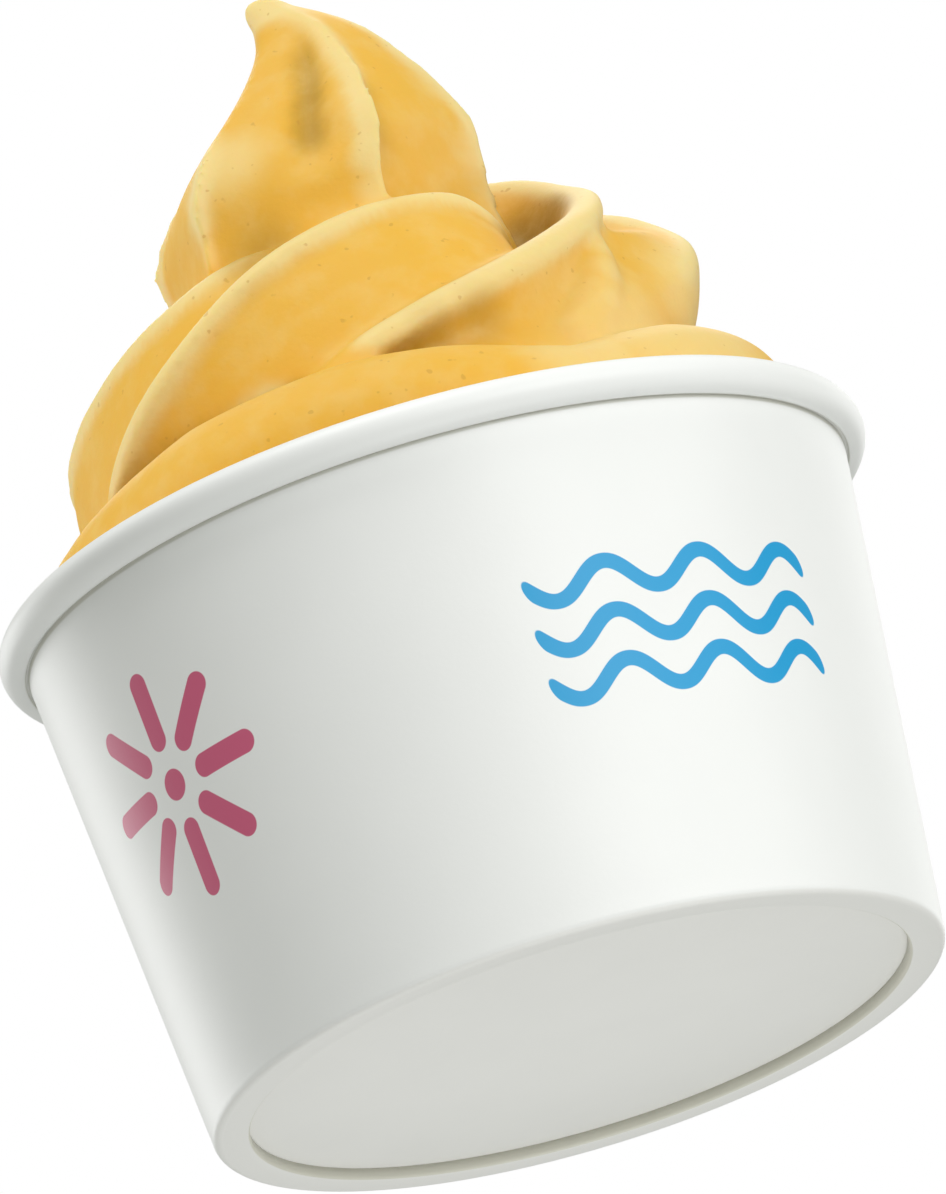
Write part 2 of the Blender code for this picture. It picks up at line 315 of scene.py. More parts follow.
def paper_material(name, colour, roughness, grain, bump):
    made, tree, shader = new_material(name)
    set_inputs(shader, Roughness=roughness, IOR=1.46)
    paper = tree.nodes.new("ShaderNodeGroup")
    paper.node_tree = grain_group
    paper.inputs["Grain Size"].default_value = grain
    relief = tree.nodes.new("ShaderNodeBump")
    set_inputs(relief, Strength=bump, Distance=0.05 * MM)
    shade = tree.nodes.new("ShaderNodeCombineColor")
    link_up(
        tree,
        (paper.outputs["Height"], relief.inputs["Height"]),
        (relief.outputs["Normal"], shader.inputs["Normal"]),
        (paper.outputs["Shade"], shade.inputs[0]),
        (paper.outputs["Shade"], shade.inputs[1]),
        (paper.outputs["Shade"], shade.inputs[2]),
    )
    tone = mix_colour(tree, 1.0, colour, shade.outputs[0], "MULTIPLY")
    tree.links.new(tone, shader.inputs["Base Color"])
    return made, tree, shader, tone


WALL_WHITE = (0.88, 0.89, 0.88)
BASE_WHITE = (0.80, 0.80, 0.78)
wall_paper, wall_tree, wall_shader, wall_tone = paper_material("cup_paper", WALL_WHITE, 0.42, 1500.0, 0.25)
base_paper = paper_material("base_paper", BASE_WHITE, 0.6, 1100.0, 0.3)[0]
print("materials:", wall_paper.name, base_paper.name)

# %% [markdown]
# ## The cup wall
# The wall is one sheet of paper. At the top it is curled outward into a bead, which makes the rim
# smooth and stiff, and leaves a narrow slot where the bead meets the wall. At the foot it is folded
# inward under the base disc, and the fold is the flat ring that the cup stands on. All of it is one
# closed outline on the lathe, with round stretches written as arcs.


# %% Cup wall
def wall_outline():
    roll_centre = (RIM_RADIUS - ROLL_RADIUS, CUP_HEIGHT - ROLL_RADIUS)
    under_roll = roll_centre[1] - 0.99 * ROLL_RADIUS
    inner_top = roll_centre[1] + 0.93 * ROLL_RADIUS
    foot_centre = (wall_radius(FOOT_ROUNDING) - FOOT_ROUNDING, FOOT_ROUNDING)
    fold = 0.4
    outline = arc((FOOT_INNER_RADIUS + fold, fold), (fold, fold), 180, 270, 5)
    outline += arc(foot_centre, (FOOT_ROUNDING, FOOT_ROUNDING), -90, 5, 9)
    low, high = outline[-1][1], under_roll
    for k in range(1, 25):
        z = low + (high - low) * k / 24
        outline.append((wall_radius(z), z))
    # The slot goes up, across and down again
    inside = wall_radius(under_roll)
    width, depth = CREASE
    outline += [(inside, high + depth), (inside + width, high + depth), (inside + width, high)]
    outline += arc(roll_centre, (ROLL_RADIUS, ROLL_RADIUS), -87, 110, 36)
    for k in range(7):
        z = inner_top + (DISC_UNDER - inner_top) * k / 6
        outline.append((wall_radius(z) - WALL_THICKNESS, z))
    outline.append((FOOT_INNER_RADIUS, DISC_UNDER))
    outline.append(outline[0])
    return outline


outline = wall_outline()
top_of_rim = max(range(len(outline)), key=lambda k: outline[k][1])
OUTSIDE_ENDS = top_of_rim / (len(outline) - 1)  # up to here the outline is the outside of the cup
wall = turn_outline("cup_wall_paper", outline, 320, wall_paper)
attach(wall, "root")
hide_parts("cup_wall")

# %% [markdown]
# ## The base disc
# A separate disc of plainer paper closes the cup. It sits a little above the foot ring, so from
# below the cup shows a shallow recess with a soft shadow along its edge.


# %% Base disc
def disc_outline():
    radius = wall_radius(DISC_UNDER) - WALL_THICKNESS - GAP
    edge = 0.15
    outline = [(0.0, DISC_UNDER), (radius * 0.5, DISC_UNDER)]
    outline += arc((radius - edge, DISC_UNDER + edge), (edge, edge), -90, 0, 3)
    outline += arc((radius - edge, DISC_TOP - edge), (edge, edge), 0, 90, 3)
    outline += [(radius * 0.5, DISC_TOP), (0.0, DISC_TOP)]
    return outline


disc = turn_outline("cup_base_paper", disc_outline(), 160, base_paper)
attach(disc, "root")
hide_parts("cup_base")

# %% [markdown]
# ## The yogurt: where the folds run
# A soft-serve nozzle is a star, so the ice cream comes out with ridges, and turning the cup lays
# them round in a spiral. Sculpting would be one way to shape them. Here each ridge is described
# instead by a few stations along its crest, because the folds are few and large and each one can
# then be corrected by a single number. Angles are in degrees, counter-clockwise from the right,
# and heights are taken from the top of the rim. The two ridges at the back are alike, so they
# share one table and differ by a turn.

# %% Stations of the ridges
# Each station: angle, radius and height of the crest, radius and height of the foot of its face.
# In a ridge's shape, tip is the radius of the rounded crest, lip the undercut below it and bulge
# how full the face is. Each pair after them is the run and rise of the upper side, at one share
# of the length in TOP_AT.
TOP_AT = (0.3, 0.6, 0.85)
BACK_RIDGE = [
    (0, 35.0, 0.0, 33.0, -4.0),
    (20, 36.5, 7.0, 33.5, 0.0),
    (45, 36.0, 14.0, 33.0, 5.0),
    (75, 33.0, 21.0, 31.0, 8.0),
    (105, 27.8, 25.5, 28.0, 12.0),
    (135, 21.5, 28.0, 22.0, 17.0),
    (162, 13.5, 29.0, 13.5, 19.0),
]
FRONT_UPPER = [
    (-182, 33.0, 1.0, 31.0, -3.0),
    (-164, 34.0, 7.8, 30.0, 2.5),
    (-139, 33.2, 15.8, 28.4, 7.5),
    (-116, 27.8, 23.8, 28.2, 10.0),
    (-92, 24.1, 27.6, 29.0, 13.0),
    (-68, 21.6, 29.1, 28.8, 16.0),
    (-45, 20.3, 29.3, 25.5, 18.0),
    (-28, 19.9, 26.6, 21.0, 18.0),
    (-15, 18.2, 21.7, 17.0, 15.0),
]
FRONT_LOWER = [
    (-126, 30.6, 0.6, 27.0, -1.0),
    (-100, 32.6, 9.0, 29.0, 4.5),
    (-80, 33.0, 12.7, 31.5, 6.5),
    (-56, 32.2, 16.8, 32.3, 6.5),
    (-32, 31.0, 22.4, 31.8, 9.0),
    (-10, 28.8, 27.9, 30.6, 12.0),
    (15, 27.6, 33.3, 28.5, 16.0),
    (40, 26.6, 38.8, 25.0, 22.0),
    (62, 22.8, 40.3, 20.0, 26.0),
    (84, 17.0, 38.8, 15.0, 26.0),
    (104, 11.0, 35.0, 10.0, 24.0),
]
RIGHT = [
    (-52, 30.0, 2.0, 29.0, -4.0),
    (-41, 32.4, 9.0, 30.0, -1.0),
    (-31, 32.7, 12.3, 30.5, 2.0),
    (-18, 33.2, 15.2, 30.5, 5.0),
    (-4, 35.8, 19.2, 30.4, 8.0),
    (12, 36.6, 25.0, 32.6, 13.0),
    (24, 34.0, 30.4, 32.4, 17.0),
    (40, 30.6, 34.0, 30.5, 20.0),
    (66, 26.3, 36.0, 25.0, 22.0),
    (98, 20.5, 35.5, 18.0, 24.0),
    (124, 13.0, 33.0, 12.0, 23.0),
]
LEFT = [
    (125, 35.0, 0.0, 33.0, -4.0),
    (148, 37.0, 9.2, 34.6, 0.0),
    (170, 36.1, 17.3, 35.3, 5.0),
    (181, 33.3, 20.8, 34.4, 7.0),
    (192, 30.3, 22.9, 33.3, 8.5),
    (216, 26.1, 25.8, 29.5, 13.0),
    (243, 22.4, 27.8, 26.0, 17.0),
    (280, 16.0, 26.8, 19.0, 19.0),
]


def ridge_shape(stations, tip, lip, bulge, *top):
    return {"stations": stations, "tip": tip, "lip": lip, "bulge": bulge, "top": top}


def back_ridge(turn):
    stations = [(angle + turn, *rest) for angle, *rest in BACK_RIDGE]
    return ridge_shape(stations, 2.0, 0.8, 0.6, (8.0, 2.0), (7.0, -1.0), (7.0, -1.0))


LOWER_TIP = (2.8, 2.0, 2.0)  # it thins along the ridge, at the same shares
RIDGES = {
    "front_upper": ridge_shape(FRONT_UPPER, 2.2, 1.1, 1.1, (9.0, 2.0), (6.0, 0.0), (5.0, -2.5)),
    "front_lower": ridge_shape(FRONT_LOWER, LOWER_TIP, 0.6, -1.4, (8.0, 1.0), (4.0, -12.0), (5.0, -3.0)),
    "right": ridge_shape(RIGHT, 2.1, 0.0, 0.7, (3.5, 8.0), (6.0, -2.0), (6.0, -1.0)),
    "back_right": back_ridge(5),
    "back_left": back_ridge(65),
    "left": ridge_shape(LEFT, 2.1, 0.6, 1.0, (8.0, 1.5), (6.0, 0.0), (6.0, -1.0)),
}
print(len(RIDGES), "ridges with", sum(len(ridge["stations"]) for ridge in RIDGES.values()), "stations")

# %% [markdown]
# ## The peak
# Above the folds the nozzle was pulled straight up, so the last of the yogurt keeps the star of
# the nozzle as upright faces with a crest between each and the next. Every level of the peak is
# a five-cornered ring. It shrinks and leans as it rises, the front face has a groove down it, and
# four small balls make the curl at the end. A pleat is a small fold that sagged under a lip, and a
# row of balls that overlap makes it.

# %% Stations of the peak and the pleat
# The peak leans as it rises: height, sideways shift, half width
PEAK = [
    (24.0, -1.1, 20.6),
    (33.0, -1.6, 19.3),
    (38.0, -1.7, 19.5),
    (42.9, -0.1, 18.0),
    (48.3, 2.1, 13.6),
    (52.9, 3.2, 9.6),
    (57.0, 3.1, 6.4),
    (60.6, 0.9, 3.4),
    (61.7, -0.7, 1.9),
]
# Its crests: the angle at each of PEAK_LEVELS, where the next face starts as a share of the half
# width, and how full that face is
PEAK_LEVELS = (30, 40, 50, 60)
PEAK_CRESTS = [
    ((-131, -127, -134, -145), 0.93, 0.6),
    ((-66, -60.5, -66.5, -79), 0.86, 0.5),
    ((-2, 0, 2, 4), 0.90, 0.5),
    ((78, 82, 86, 90), 0.90, 0.5),
    ((162, 166, 170, 172), 0.93, 0.4),
]
GROOVE_DEPTH = 2.3
GROOVE_SHARES = ((36, 42, 55, 59), (0, 1, 0.6, 0))  # heights, and how much of the depth is there
GROOVE_PLACE = ((40, 53), (0.63, 0.56))  # heights, and the share of the way across the front face
# The curled end: sideways place, height, radius
TIP = [(0.2, 60.3, 2.4), (-0.7, 61.3, 1.9), (-1.5, 61.6, 1.5), (-1.8, 61.0, 1.25)]

# A rounded pleat hangs under the lip at the right. Each row is an angle, a distance from the axis
# and a height above the rim, for its middle, and half its thickness.
PLEAT = [
    (-26.5, 27.6, 23.5, 1.8),
    (-28.5, 28.4, 21.0, 2.3),
    (-31.5, 29.2, 17.5, 2.8),
    (-36.5, 29.7, 13.0, 3.2),
    (-44, 29.4, 9.0, 3.7),
]
print("the peak ends", round(PEAK[-1][0], 1), "mm above the rim")

# %% [markdown]
# ## From stations to one skin
# Each ridge is a closed strip swept round the axis. A strip's section has a rounded crest, a
# steep face below it and a sloping upper side. All the strips, the peak, the lowest coil and the
# filling of the cup overlap, and a voxel remesh then melts them into one skin, much as the soft
# ice runs together. A Boolean union would keep every sharp corner, which ice doesn't have.


# %% Sizes of the coil, the filling and the core
COIL_RADIUS = 34.0
COIL_TUBE = 8.0
COIL_HEIGHT = 1.5
COIL_DIPS = [  # angle, and how far the coil is lifted there
    (-180, -1.0), (-160, -1.9), (-146, -1.5), (-134, -0.8), (-124, 0.1), (-97, 0.3),
    (-90, 0.0), (-78, -0.9), (-65, -2.6), (-56, -3.3), (-46, -2.1), (-34, -0.7),
    (-12, 0.4), (60, 0.0), (140, 0.0), (180, -1.0),
]
FILL_SHOULDER = -3.5  # the filling is as wide as the cup up to here
CORE = [(31, -2), (28, 4), (24, 10), (20, 16), (17, 22), (15, 28)]  # radius and height
FACE_SHARES = (0.1, 0.2, 0.35, 0.5, 0.65, 0.8)  # how far down its face a ridge has a point
print("coil of", 2 * COIL_TUBE, "mm with", len(COIL_DIPS), "dips")


# %% Sweep helpers
def through(points, count):
    """A smooth line through the given rows, as count rows."""
    rows = np.array(points, float)
    last = len(rows) - 1
    line = []
    for x in np.linspace(0, last, count):
        i = min(int(x), last - 1)
        f = x - i
        a = rows[max(i - 1, 0)]
        b = rows[i]
        c = rows[i + 1]
        d = rows[min(i + 2, last)]
        curve = (2 * a - 5 * b + 4 * c - d) * f**2 + (3 * b - a - 3 * c + d) * f**3
        line.append(0.5 * (2 * b + (c - a) * f + curve))
    return line


def round_axis(radius, angle, height):
    return (radius * math.cos(angle), radius * math.sin(angle), height)


def join_rings(bm, rings, closed_run=False):
    """Faces between one ring of vertices and the next, with the two ends closed."""
    pairs = list(zip(rings, rings[1:]))
    if closed_run:
        pairs.append((rings[-1], rings[0]))
    for low, high in pairs:
        for k in range(len(low)):
            n = (k + 1) % len(low)
            bm.faces.new((low[k], low[n], high[n], high[k]))
    if not closed_run:
        bm.faces.new(reversed(rings[0]))
        bm.faces.new(rings[-1])


def turned(bm, outline, segments=96, lift=0.0):
    """Turns an outline of (radius, height) about the Z axis."""
    turns = [math.tau * k / segments for k in range(segments)]
    rings = [[bm.verts.new(round_axis(r, turn, z + lift)) for turn in turns] for r, z in outline]
    join_rings(bm, rings)


def ridge_section(station, ridge, tip, top):
    """The outline of a ridge at one angle, as (radius, height): crest, face, core, upper side."""
    crest, height, foot, foot_height = station[1:]
    run, rise = top
    down = math.atan2(foot_height - height, foot - crest)
    start = math.atan2(rise, -run) - math.pi / 2
    end = down + math.pi / 2
    while end > start:
        end -= math.tau
    end = max(end, start - 1.6 * math.pi)
    points = arc((crest - tip, height), (tip, tip), math.degrees(start), math.degrees(end), 6)
    x, z = points[-1]
    length = math.hypot(foot - x, foot_height - z)
    normal = (-math.sin(down), math.cos(down))
    for share in FACE_SHARES:
        undercut = ridge["lip"] * min(1, share * length / 1.2) * min(1, 2 - 2 * share)
        out = ridge["bulge"] * math.sin(math.pi * share) - undercut
        across = x + (foot - x) * share + normal[0] * out
        points.append((across, z + (foot_height - z) * share + normal[1] * out))
    points.append((foot, foot_height))
    core = min(3.0, 0.3 * crest)
    points.append((core, min(foot_height - 1, height - 4)))
    x, z = points[0]
    inside = max(x - run, core + 1)
    points.append((core, max(z + rise, foot_height + 1)))
    points.append((inside, z + rise))
    points.append(((inside + x) / 2, z + 0.45 * rise))
    return points


def add_ridge(bm, ridge, count=120):
    """Sweeps the section of a ridge along its stations."""
    rings = []
    runs, rises = zip(*ridge["top"])
    for k, station in enumerate(through(ridge["stations"], count)):
        share = k / (count - 1)
        tip = np.interp(share, TOP_AT, np.broadcast_to(ridge["tip"], len(TOP_AT)))
        top = (np.interp(share, TOP_AT, runs), np.interp(share, TOP_AT, rises))
        angle = math.radians(station[0])
        section = ridge_section(station, ridge, tip, top)
        rings.append([bm.verts.new(round_axis(r, angle, z + CUP_HEIGHT)) for r, z in section])
    join_rings(bm, rings)


def peak_ring(height, half_width, per_face=34):
    """One level of the peak as (x, y), with a crest at each corner and a face to the next one."""
    angles = [math.radians(np.interp(height, PEAK_LEVELS, crest[0])) for crest in PEAK_CRESTS]
    groove = GROOVE_DEPTH * float(np.interp(height, *GROOVE_SHARES)) * min(1, half_width / 9)
    place = np.interp(height, *GROOVE_PLACE)
    points = []
    for k, (_, start_share, fullness) in enumerate(PEAK_CRESTS):
        width = (angles[(k + 1) % len(angles)] - angles[k]) % math.tau
        start = start_share * half_width
        across = half_width * math.cos(width) - start
        up = half_width * math.sin(width)
        for n in range(per_face):
            share = n / (per_face - 1)
            turn = width * share
            radius = start * up / (math.cos(turn) * up - math.sin(turn) * across)
            radius += fullness * math.sin(math.pi * share) * min(1, half_width / 10)
            if k == 0:
                radius -= groove * math.exp(-(((share - place) / 0.16) ** 2))
            points.append((radius * math.cos(angles[k] + turn), radius * math.sin(angles[k] + turn)))
    return points


def add_peak(bm, levels=90):
    """The leaning peak, with its faces and crests, and the small curl at its end."""
    rings = []
    for height, shift, half_width in through(PEAK, levels):
        corners = peak_ring(height, half_width)
        rings.append([bm.verts.new((x + shift, y, height + CUP_HEIGHT)) for x, y in corners])
    join_rings(bm, rings)
    for x, height, radius in TIP:
        place = Matrix.Translation((x, -0.3, height + CUP_HEIGHT))
        bmesh.ops.create_icosphere(bm, subdivisions=3, radius=radius, matrix=place)


def add_pleat(bm, count=24):
    """The pleat, as a row of balls that overlap."""
    for angle, distance, height, radius in through(PLEAT, count):
        middle = round_axis(distance, math.radians(angle), height + CUP_HEIGHT)
        bmesh.ops.create_icosphere(bm, subdivisions=3, radius=radius, matrix=Matrix.Translation(middle))


def add_coil(bm, segments=160, around=28):
    """The lowest coil of the piping, which lies round the inside of the rim."""
    turns = [math.tau * n / around for n in range(around)]
    rings = []
    for k in range(segments):
        degrees = -180 + 360 * k / segments
        angle = math.radians(degrees)
        lift = CUP_HEIGHT + COIL_HEIGHT + float(np.interp(degrees, *zip(*COIL_DIPS)))
        tube = [(COIL_TUBE * math.cos(turn), COIL_TUBE * math.sin(turn)) for turn in turns]
        rings.append([bm.verts.new(round_axis(COIL_RADIUS + x, angle, lift + z)) for x, z in tube])
    join_rings(bm, rings, closed_run=True)


def inside_limit(z):
    """The farthest that the yogurt reaches at a height in the cup."""
    return wall_radius(z) - WALL_THICKNESS - GAP - 0.05


# %% Build the overlapping pieces
def yogurt_pieces():
    bm = bmesh.new()
    for ridge in RIDGES.values():
        add_ridge(bm, ridge)
    add_peak(bm)
    add_pleat(bm)
    add_coil(bm)
    turned(bm, CORE, lift=CUP_HEIGHT)
    shoulder = CUP_HEIGHT + FILL_SHOULDER
    fill = [(0.01, YOGURT_BOTTOM), (inside_limit(YOGURT_BOTTOM), YOGURT_BOTTOM)]
    fill += [(inside_limit(shoulder), shoulder), (30, CUP_HEIGHT + 3)]
    turned(bm, fill)
    bmesh.ops.recalc_face_normals(bm, faces=bm.faces)
    bmesh.ops.scale(bm, vec=(MM, MM, MM), verts=bm.verts)
    mesh = bpy.data.meshes.new("yogurt_pieces")
    bm.to_mesh(mesh)
    bm.free()
    return placed("yogurt_pieces", mesh)


rough = yogurt_pieces()
print("overlapping pieces:", len(rough.data.polygons), "faces")

# %% Melt them into one skin
VOXEL = 0.5
SMOOTHING = 22
MOST_TRIANGLES = 190000

remesh = rough.modifiers.new("one_skin", "REMESH")
remesh.mode = "VOXEL"
remesh.voxel_size = VOXEL * MM
settle = rough.modifiers.new("settle", "SMOOTH")
settle.factor = 0.5
settle.iterations = SMOOTHING
skin = bpy.data.meshes.new_from_object(rough.evaluated_get(bpy.context.evaluated_depsgraph_get()))
bpy.data.objects.remove(rough)
yogurt = placed("piped_yogurt", skin)
thin = yogurt.modifiers.new("fewer_faces", "DECIMATE")
thin.ratio = min(1.0, MOST_TRIANGLES / (2 * len(skin.polygons)))
thin.use_collapse_triangulate = True
skin = bpy.data.meshes.new_from_object(yogurt.evaluated_get(bpy.context.evaluated_depsgraph_get()))
yogurt.modifiers.clear()
yogurt.data = skin

# Decimation can leave two faces back to back on the same three corners. They enclose nothing
bm = bmesh.new()
bm.from_mesh(skin)
on_corners = {}
for face in bm.faces:
    on_corners.setdefault(frozenset(corner.index for corner in face.verts), []).append(face)
stray = [face for faces in on_corners.values() if len(faces) > 1 for face in faces]
bmesh.ops.delete(bm, geom=stray, context="FACES")
bm.to_mesh(skin)
bm.free()
print("stray faces taken out:", len(stray))
skin.shade_smooth()
print("skin:", len(skin.polygons), "triangles")


# %% Points and neighbours as arrays
def array_of(items, name, width, kind=np.float32):
    """One named value of every vertex or edge, a row for each."""
    flat = np.empty(len(items) * width, kind)
    items.foreach_get(name, flat)
    return flat.reshape(-1, width).astype(float if kind is np.float32 else int)


def averaged(values, edges, times):
    """Each value replaced by the mean of its neighbours, several times over."""
    count = len(values)
    near = np.bincount(edges[:, 0], minlength=count) + np.bincount(edges[:, 1], minlength=count)
    near = np.maximum(near, 1)
    columns = values.reshape(count, -1).copy()
    for _ in range(times):
        for c in range(columns.shape[1]):
            total = np.bincount(edges[:, 0], columns[edges[:, 1], c], count)
            total += np.bincount(edges[:, 1], columns[edges[:, 0], c], count)
            columns[:, c] = total / near
    return columns.reshape(values.shape)


# %% Keep it clear of the cup and inside the solid's box
spots = array_of(skin.vertices, "co", 3) / MM
height = spots[:, 2]
reach = np.hypot(spots[:, 0], spots[:, 1])
limit = np.where(height < CUP_HEIGHT - 0.5, inside_limit(height), RIM_RADIUS)
spots[:, :2] *= np.minimum(1, limit / np.maximum(reach, 0.001))[:, None]
spots[:, 2] = np.clip(height, YOGURT_BOTTOM, yogurt_box[1][2] / MM)
skin.vertices.foreach_set("co", (spots * MM).astype(np.float32).ravel())
skin.update()
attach(yogurt, "root")
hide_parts("frozen_yogurt")
print("yogurt from", round(spots[:, 2].min(), 2), "to", round(spots[:, 2].max(), 2), "mm")

# %% [markdown]
# ## Crests and hollows as attributes
# Light soaks into frozen yogurt, so thin crests look pale and deep hollows a darker gold.
# Subsurface scattering gives part of this, and the rest is painted into the colour from three
# masks kept on the mesh: a painted highlight on the crests and painted shade in the grooves and
# the hollows. The band and the groove compare each point with a smoothed copy of the surface,
# which lies below a crest and above a groove. The hollow mask casts rays out of each point and
# counts how many meet more yogurt, which tells how shut in the point is.


# %% Crest mask
edges = array_of(skin.edges, "vertices", 2, np.int32)
normals = array_of(skin.vertices, "normal", 3)
crest = np.zeros(len(spots))
for times, share in ((12, 1.6), (50, 0.55)):  # sharp crests count for more than broad ones
    softer = averaged(spots, edges, times)
    crest += share * np.einsum("ij,ij->i", spots - softer, normals)
crest = averaged(crest, edges, 4)
print("crest measure, 5th to 95th percentile:", np.percentile(crest, (5, 50, 95)).round(3))


def soft_step(values, low, high):
    share = np.clip((values - low) / (high - low), 0, 1)
    return share * share * (3 - 2 * share)


# The painted highlight of a crest spreads a little way down both its sides, and so does the painted shade
# of a groove
band = averaged(soft_step(crest, 0.42, 0.66), edges, 26)
groove = averaged(soft_step(-crest, 0.05, 0.3), edges, 24)


# %% Hollow mask
def hollow_mask(mesh, rays=24, far=26.0, seed=4):
    """The share of rays from each point that meet the yogurt, nearer hits counting for more."""
    places = array_of(mesh.vertices, "co", 3)
    outward = array_of(mesh.vertices, "normal", 3)
    tree = BVHTree.FromPolygons(places.tolist(), [tuple(face.vertices) for face in mesh.polygons])
    rng = np.random.default_rng(seed)
    spread = rng.normal(size=(rays, 3))
    spread /= np.linalg.norm(spread, axis=1)[:, None]
    met = np.zeros(len(places))
    above = places[:, 2] > (CUP_HEIGHT - 6) * MM
    for k in np.nonzero(above)[0]:
        normal = outward[k]
        start = Vector(places[k] + normal * 0.15 * MM)
        hits = 0.0
        for ray in spread:
            way = normal * 1.02 + ray
            found = tree.ray_cast(start, Vector(way), far * MM)
            if found[0] is not None:
                hits += 1 - found[3] / (far * MM)
        met[k] = hits / rays
    return met


# The hollow mask gives painted shade: the more shut in a point is, the darker its colour is painted
hollow = averaged(hollow_mask(skin), edges, 3)
print("hollow mask, 50th and 95th percentile:", np.percentile(hollow, (50, 95)).round(3))


# %% Store the masks on the mesh
def store(mesh, name, values):
    layer = mesh.attributes.new(name, "FLOAT", "POINT")
    layer.data.foreach_set("value", np.asarray(values, np.float32))


store(skin, "band", band)
store(skin, "groove", groove)
store(skin, "hollow", hollow)

# %% [markdown]
# ## Frozen yogurt as a material
# The yogurt is a milky gold: opaque, a little moist, with light that travels a few millimetres
# inside. Its colour is painted from deep gold in the hollows, as painted shade, to cream on the
# crests, as a painted highlight. The masks alone would treat every fold alike, so a few places
# get painted light and painted shade of their own, as a painter would: paler on the folds at the
# right, and darker in the front groove, in the pit behind the lip and in the nooks. That painted
# light and shade is part of the colour, so it stays when the lights move. Small flecks of fruit
# and a faint mottle break it up, and a fine Bump stands for ice crystals.


# %% Helpers for the yogurt material
def attribute(tree, name):
    node = tree.nodes.new("ShaderNodeAttribute")
    node.attribute_name = name
    return node.outputs["Fac"]


def in_places(tree, places, most=1.0):
    """Up to most within near millimetres of the middle of each place, and 0 beyond far."""
    share = None
    for middle, far, near in places:
        here = tree.nodes.new("ShaderNodeTexCoord")
        apart = tree.nodes.new("ShaderNodeVectorMath")
        apart.operation = "DISTANCE"
        apart.inputs[1].default_value = [c * MM for c in middle]
        tree.links.new(here.outputs["Object"], apart.inputs[0])
        one = ramp(tree, apart.outputs["Value"], far * MM, near * MM, 0.0, most)
        share = one if share is None else calc(tree, "MAXIMUM", share, one)
    return share


def masked(tree, name, low, high, most, places=None):
    """A mask of the mesh as a factor from 0 to most, if need be only in some places."""
    factor = ramp(tree, attribute(tree, name), low, high, 0.0, most)
    return calc(tree, "MULTIPLY", factor, in_places(tree, places)) if places else factor


# %% Yogurt material
GOLD = (0.86, 0.49, 0.058)
CREAM = (0.89, 0.69, 0.28)
SHADED_GOLD = (0.44, 0.245, 0.018)
DARKEST_SHADED_GOLD = (0.25, 0.14, 0.012)
FLECK = (0.52, 0.25, 0.03)
MOTTLE_SCALE = 260.0
FLECK_SCALE = 850.0
CRYSTAL_SCALE = 900.0

# Each place: its middle in millimetres, how far out its tone ends, and how far out it is still full
# Painted light: the yogurt is painted paler at these places, on the folds at the right, down the pleat, at
# the foot of the peak's front crest and on the left of its front face
PAINTED_LIGHT_PLACES = [
    ((32, -23, 65), 19, 6),  # the right side, low
    ((37, -4, 75), 12, 4),  # the right side, high
    ((22, -34, 63), 10, 3),  # the coil at the right
    ((26.5, -15.5, 80), 4, 0.5),  # down the pleat
    ((27, -17.5, 76), 4, 0.5),
    ((26, -20, 72), 4, 0.5),
    ((5.6, -17, 96), 3.2, 0.5),  # the foot of the front crest of the peak
    ((5.3, -17.2, 92.5), 3.2, 0.5),
    ((-9, -14, 101), 7, 1),  # the left of the peak's front face
]
# Painted shade: the places below are painted darker, in the front groove, in the pit behind the lip and on
# its floor, in the nook by the peak and under the lip
FRONT_GROOVE = [((0.5, -14, 107), 15, 8)]
PIT = [((20, -2, 88), 13, 8)]
PIT_FLOOR = [((17.5, 9.5, 90), 7.5, 1)]
PEAK_NOOK = [((-8.5, -18, 89.5), 7.0, 1.5)]
UNDER_LIP = [((7, -30.5, 70.9), 4.5, 0.5), ((12, -28.4, 71.7), 5, 0.5)]

yogurt_finish, tree, shader = new_material("yogurt")
set_inputs(shader, Roughness=0.5, IOR=1.38, Subsurface_Weight=0.35)
set_inputs(shader, Subsurface_Radius=(1.0, 0.55, 0.2), Subsurface_Scale=2.5 * MM)  # reds go farthest
# Painted highlight: the colour turns to cream along the crests, where the band mask is high
body = mix_colour(tree, masked(tree, "band", 0.05, 0.5, 1.0), GOLD, CREAM)
# Painted shade from the groove and hollow masks and at the dark places, then painted light at the lit
# places; the mottle and the flecks are the yogurt's own colour
layers = [
    (masked(tree, "groove", 0.05, 0.8, 0.75, FRONT_GROOVE), SHADED_GOLD),
    (masked(tree, "hollow", 0.12, 0.32, 0.6, PIT), SHADED_GOLD),
    (in_places(tree, PEAK_NOOK, 0.7), SHADED_GOLD),
    (in_places(tree, UNDER_LIP, 0.4), SHADED_GOLD),
    (in_places(tree, PIT_FLOOR, 0.8), DARKEST_SHADED_GOLD),
    (masked(tree, "hollow", 0.17, 0.6, 0.68), SHADED_GOLD),
    # Painted light at the places listed above
    (in_places(tree, PAINTED_LIGHT_PLACES, 0.65), CREAM),
    (ramp(tree, noise(tree, MOTTLE_SCALE, 4.0), 0.4, 0.75, 0.0, 0.22), CREAM),
    (ramp(tree, noise(tree, FLECK_SCALE, 1.0), 0.72, 0.77, 0.0, 0.35), FLECK),
]
for factor, colour in layers:
    body = mix_colour(tree, factor, body, colour)
crystals = tree.nodes.new("ShaderNodeBump")
set_inputs(crystals, Strength=0.5, Distance=0.12 * MM)
link_up(
    tree,
    (body, shader.inputs["Base Color"]),
    (noise(tree, CRYSTAL_SCALE, 4.0, 0.6), crystals.inputs["Height"]),
    (crystals.outputs["Normal"], shader.inputs["Normal"]),
)
skin.materials.clear()
skin.materials.append(yogurt_finish)
print("yogurt material with", len(tree.nodes), "nodes")

